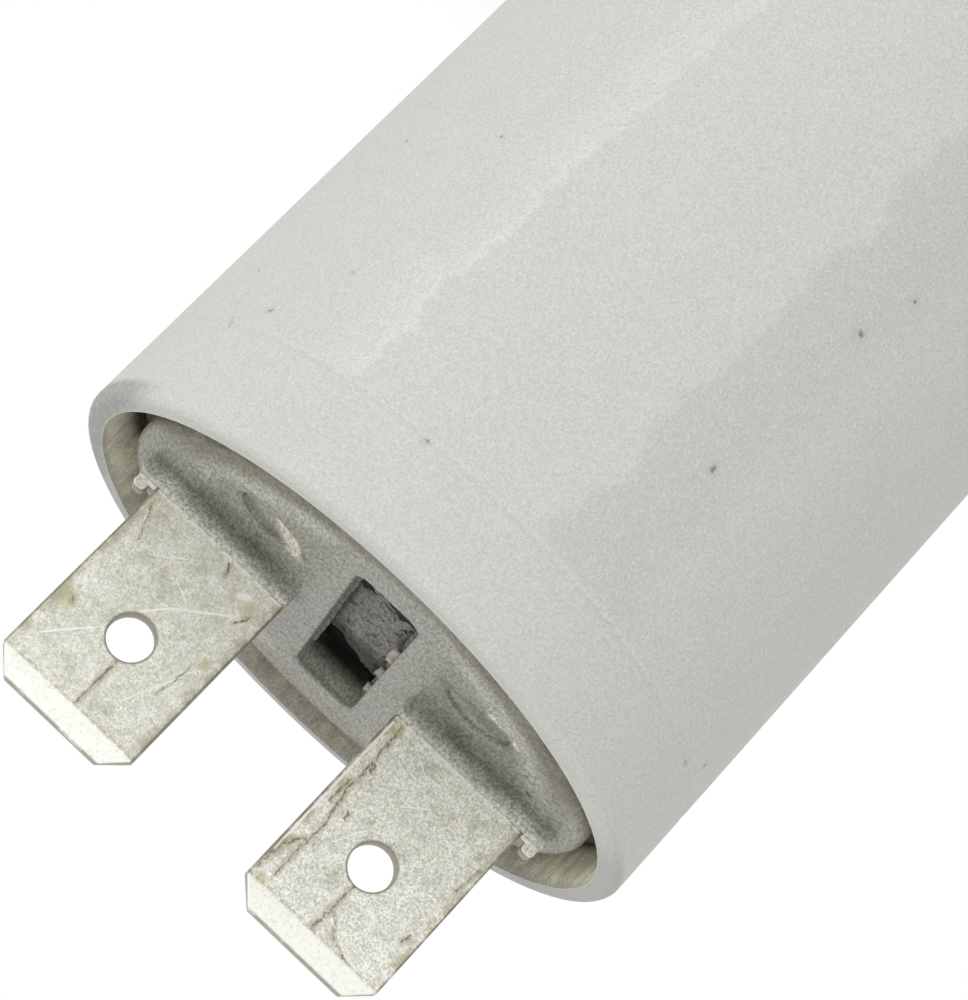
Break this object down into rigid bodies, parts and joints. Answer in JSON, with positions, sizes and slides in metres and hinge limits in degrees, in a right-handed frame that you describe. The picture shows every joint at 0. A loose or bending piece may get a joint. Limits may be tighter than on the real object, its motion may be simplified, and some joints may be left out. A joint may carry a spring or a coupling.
{
  "type": "motor start capacitor",
  "caption": "Round motor capacitor in a white moulded can, cast in resin under a moulded lid, with flat push-on blades at one end.",
  "frame": {"origin": "centre of the flat closed bottom of the can", "axes": "+Z along the can's axis from the bottom towards the blades, +X along the row of the two blades"},
  "size_m": [0.026, 0.026, 0.0671],
  "materials": {
    "can_plastic": "fine-grained white moulding",
    "lid_plastic": "smooth grey-white moulding",
    "tinned_blade": "dull tin plate with scuffs",
    "resin": "rough cast resin with pits",
    "film": "metallised film edge-on",
    "wrap": "clear film over the roll",
    "core_plastic": "natural moulding",
    "sprayed_metal": "rough sprayed zinc",
    "tinned_wire": "tinned copper strands",
    "sleeve": "smooth insulation",
    "solder": "bright solder"
  },
  "bodies": {
    "root": {"can": "can_plastic", "lid": "lid_plastic", "blade_left": "tinned_blade", "blade_right": "tinned_blade", "potting_resin": "resin", "film_winding": "film", "outer_wrap": "wrap", "winding_core": "core_plastic", "end_spray_bottom": "sprayed_metal", "end_spray_top": "sprayed_metal", "lead_top": "tinned_wire", "lead_bottom": "tinned_wire", "sleeve_top": "sleeve", "sleeve_bottom": "sleeve", "solder_roll_top": "solder", "solder_roll_bottom": "solder", "solder_blade_left": "solder", "solder_blade_right": "solder"}
  },
  "joints": []
}
